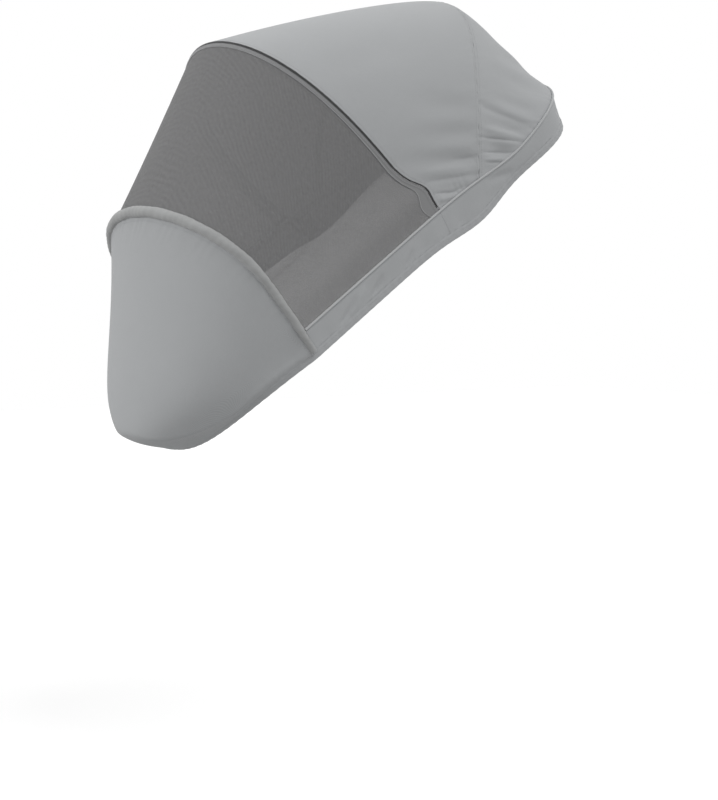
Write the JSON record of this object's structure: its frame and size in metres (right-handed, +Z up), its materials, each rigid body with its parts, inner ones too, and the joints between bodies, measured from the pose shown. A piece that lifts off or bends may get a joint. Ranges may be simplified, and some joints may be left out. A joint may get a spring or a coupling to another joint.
{
  "type": "stroller mosquito net",
  "caption": "Hooded mosquito net cover for a reclined stroller seat: cloth canopy, zipped net window, domed front panel and an elastic hem strapped to the seat frame.",
  "frame": {"origin": "on the centre plane, midway between the feet of the two side seams, where the cover is strapped to the seat frame", "axes": "+X the stroller's left, +Y towards the head end, +Z up; the seat edge that the cover is strapped to rises 36 degrees towards +Y"},
  "size_m": [0.3803, 0.6351, 0.6043],
  "materials": {
    "grey_cloth": "matt woven polyester",
    "grey_net": "fine hexagonal netting",
    "light_piping": "matt",
    "dark_tape": "woven tape",
    "zip_coil": "nylon coil",
    "dark_metal": "satin",
    "spring_rod": "glass fibre",
    "black_elastic": "braided",
    "grey_webbing": "flat webbing",
    "hook_tape": "hook tape",
    "loop_tape": "loop tape"
  },
  "bodies": {
    "cover": {"canopy_top_panel": "grey_cloth", "canopy_rear_panel": "grey_cloth", "front_panel": "grey_cloth", "rear_skirt": "grey_cloth", "left_front_skirt": "grey_cloth", "right_front_skirt": "grey_cloth", "hem_casing": "grey_cloth", "net_window": "grey_net", "skirt_piping": "light_piping", "front_rim_sleeve": "light_piping", "front_rim_rod": "spring_rod", "bow_seam_binding": "dark_tape", "hem_elastic": "black_elastic", "upper_zip_tape": "dark_tape", "lower_zip_tape": "dark_tape", "upper_zip_teeth": "zip_coil", "lower_zip_teeth": "zip_coil", "left_zip_stop": "dark_metal", "right_zip_stop": "dark_metal", "left_frame_strap": "grey_webbing", "right_frame_strap": "grey_webbing", "left_loop_patch": "loop_tape", "right_loop_patch": "loop_tape"},
    "zip_slider": {"zip_slider": "dark_metal"},
    "pull_tab": {"zip_pull_tab": "dark_metal"},
    "left_tab": {"left_strap_tab": "grey_webbing", "left_hook_patch": "hook_tape"},
    "right_tab": {"right_strap_tab": "grey_webbing", "right_hook_patch": "hook_tape"}
  },
  "joints": [
    {"name": "zip_slide", "type": "slide", "parent": "cover", "child": "zip_slider", "axis": [0.0699, -0.8046, 0.5897], "range_m": [0, 0.06]},
    {"name": "pull_tab_swing", "type": "hinge", "parent": "zip_slider", "child": "pull_tab", "pos_m": [-0.1883, -0.03357, 0.04198], "axis": [0.0082, 0.5916, 0.8062], "range_deg": [0, 170]},
    {"name": "left_tab_peel", "type": "hinge", "parent": "cover", "child": "left_tab", "pos_m": [0.15154, -0.00322, 0.03845], "axis": [0, 0.809, 0.5878], "range_deg": [0, 90]},
    {"name": "right_tab_peel", "type": "hinge", "parent": "cover", "child": "right_tab", "pos_m": [-0.15154, -0.00322, 0.03845], "axis": [0, -0.809, -0.5878], "range_deg": [0, 90]}
  ]
}
